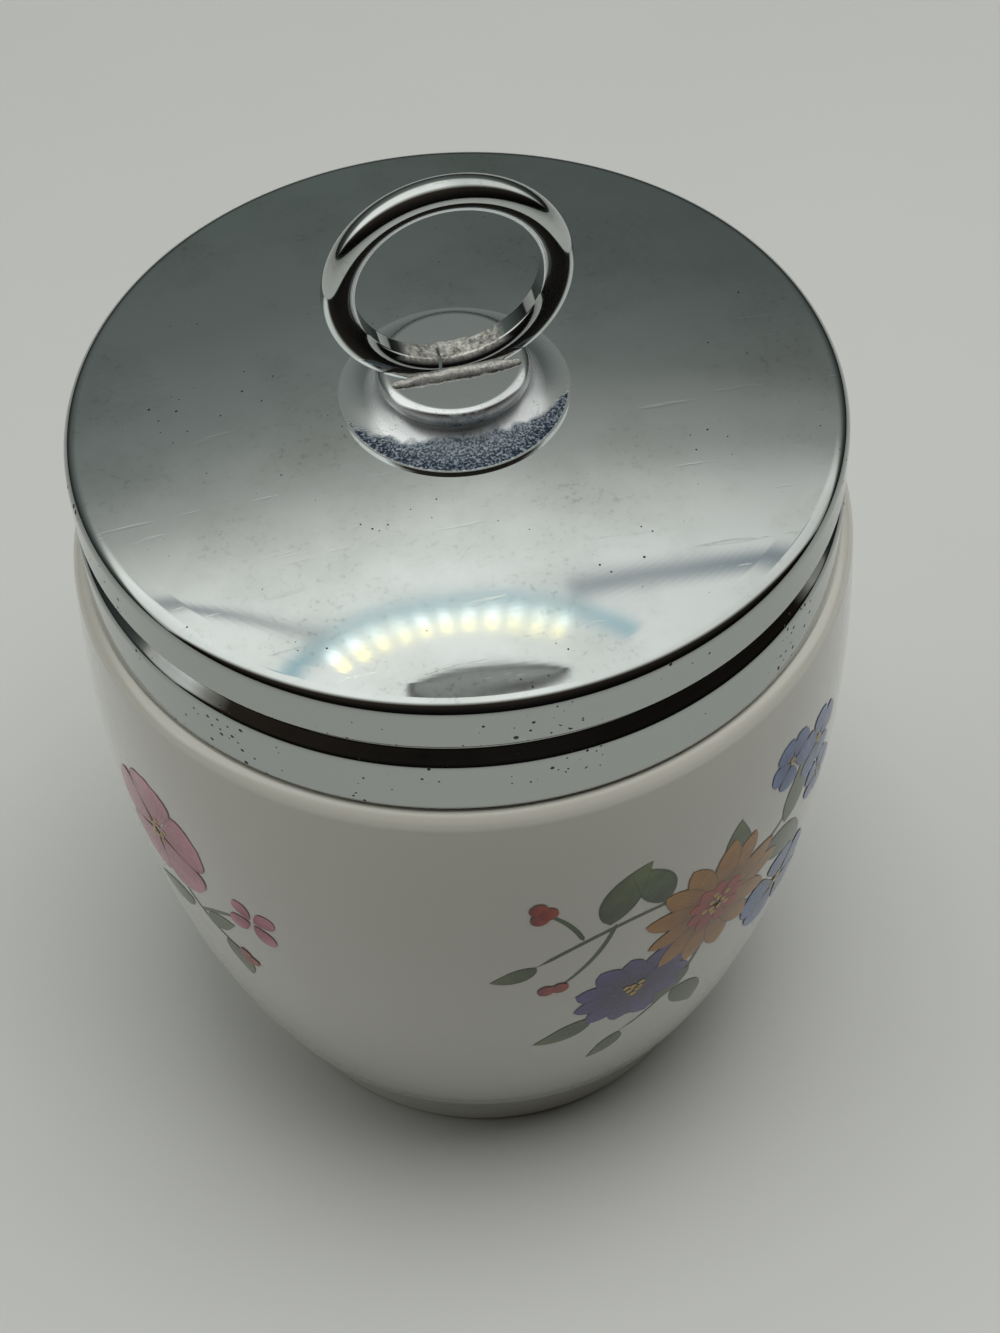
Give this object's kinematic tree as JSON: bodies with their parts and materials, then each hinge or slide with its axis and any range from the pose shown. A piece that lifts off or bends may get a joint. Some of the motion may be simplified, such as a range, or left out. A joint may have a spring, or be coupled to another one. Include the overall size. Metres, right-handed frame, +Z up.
{
  "type": "egg coddler",
  "caption": "Barrel-shaped porcelain cup with a screw neck and a plated metal screw lid, lifted by a ring on a boss, for cooking an egg in hot water.",
  "frame": {"origin": "centre of the foot ring, on the plane that the cup stands on", "axes": "+Z up along the axis of the cup and lid; the lifting ring lies in the XZ plane"},
  "size_m": [0.0708, 0.0708, 0.1061],
  "materials": {
    "porcelain": "glossy clear glaze over white porcelain",
    "plated_metal": "bright plating, worn and finely pitted",
    "inner_metal": "dull tinned sheet",
    "braze": "rough filler metal",
    "seal": "matt"
  },
  "bodies": {
    "cup": {"porcelain_cup": "porcelain"},
    "seal": {"sealing_ring": "seal"},
    "lid": {"lid_cap": "plated_metal", "lining_plate": "inner_metal", "threaded_sleeve": "inner_metal", "boss": "plated_metal", "backing_washer": "inner_metal", "lifting_ring": "plated_metal", "braze_seam": "braze"}
  },
  "joints": [
    {"name": "lid_rise", "type": "slide", "parent": "cup", "child": "seal", "axis": [0, 0, 1], "range_m": [0, 0.025]},
    {"name": "lid_turn", "type": "hinge", "parent": "seal", "child": "lid", "pos_m": [0, 0, 0.08], "axis": [0, 0, 1], "range_deg": [0, 2160]}
  ],
  "couplings": [
    {"joint": "lid_rise", "follows": "lid_turn", "m_per_rad": 0.00063662}
  ]
}
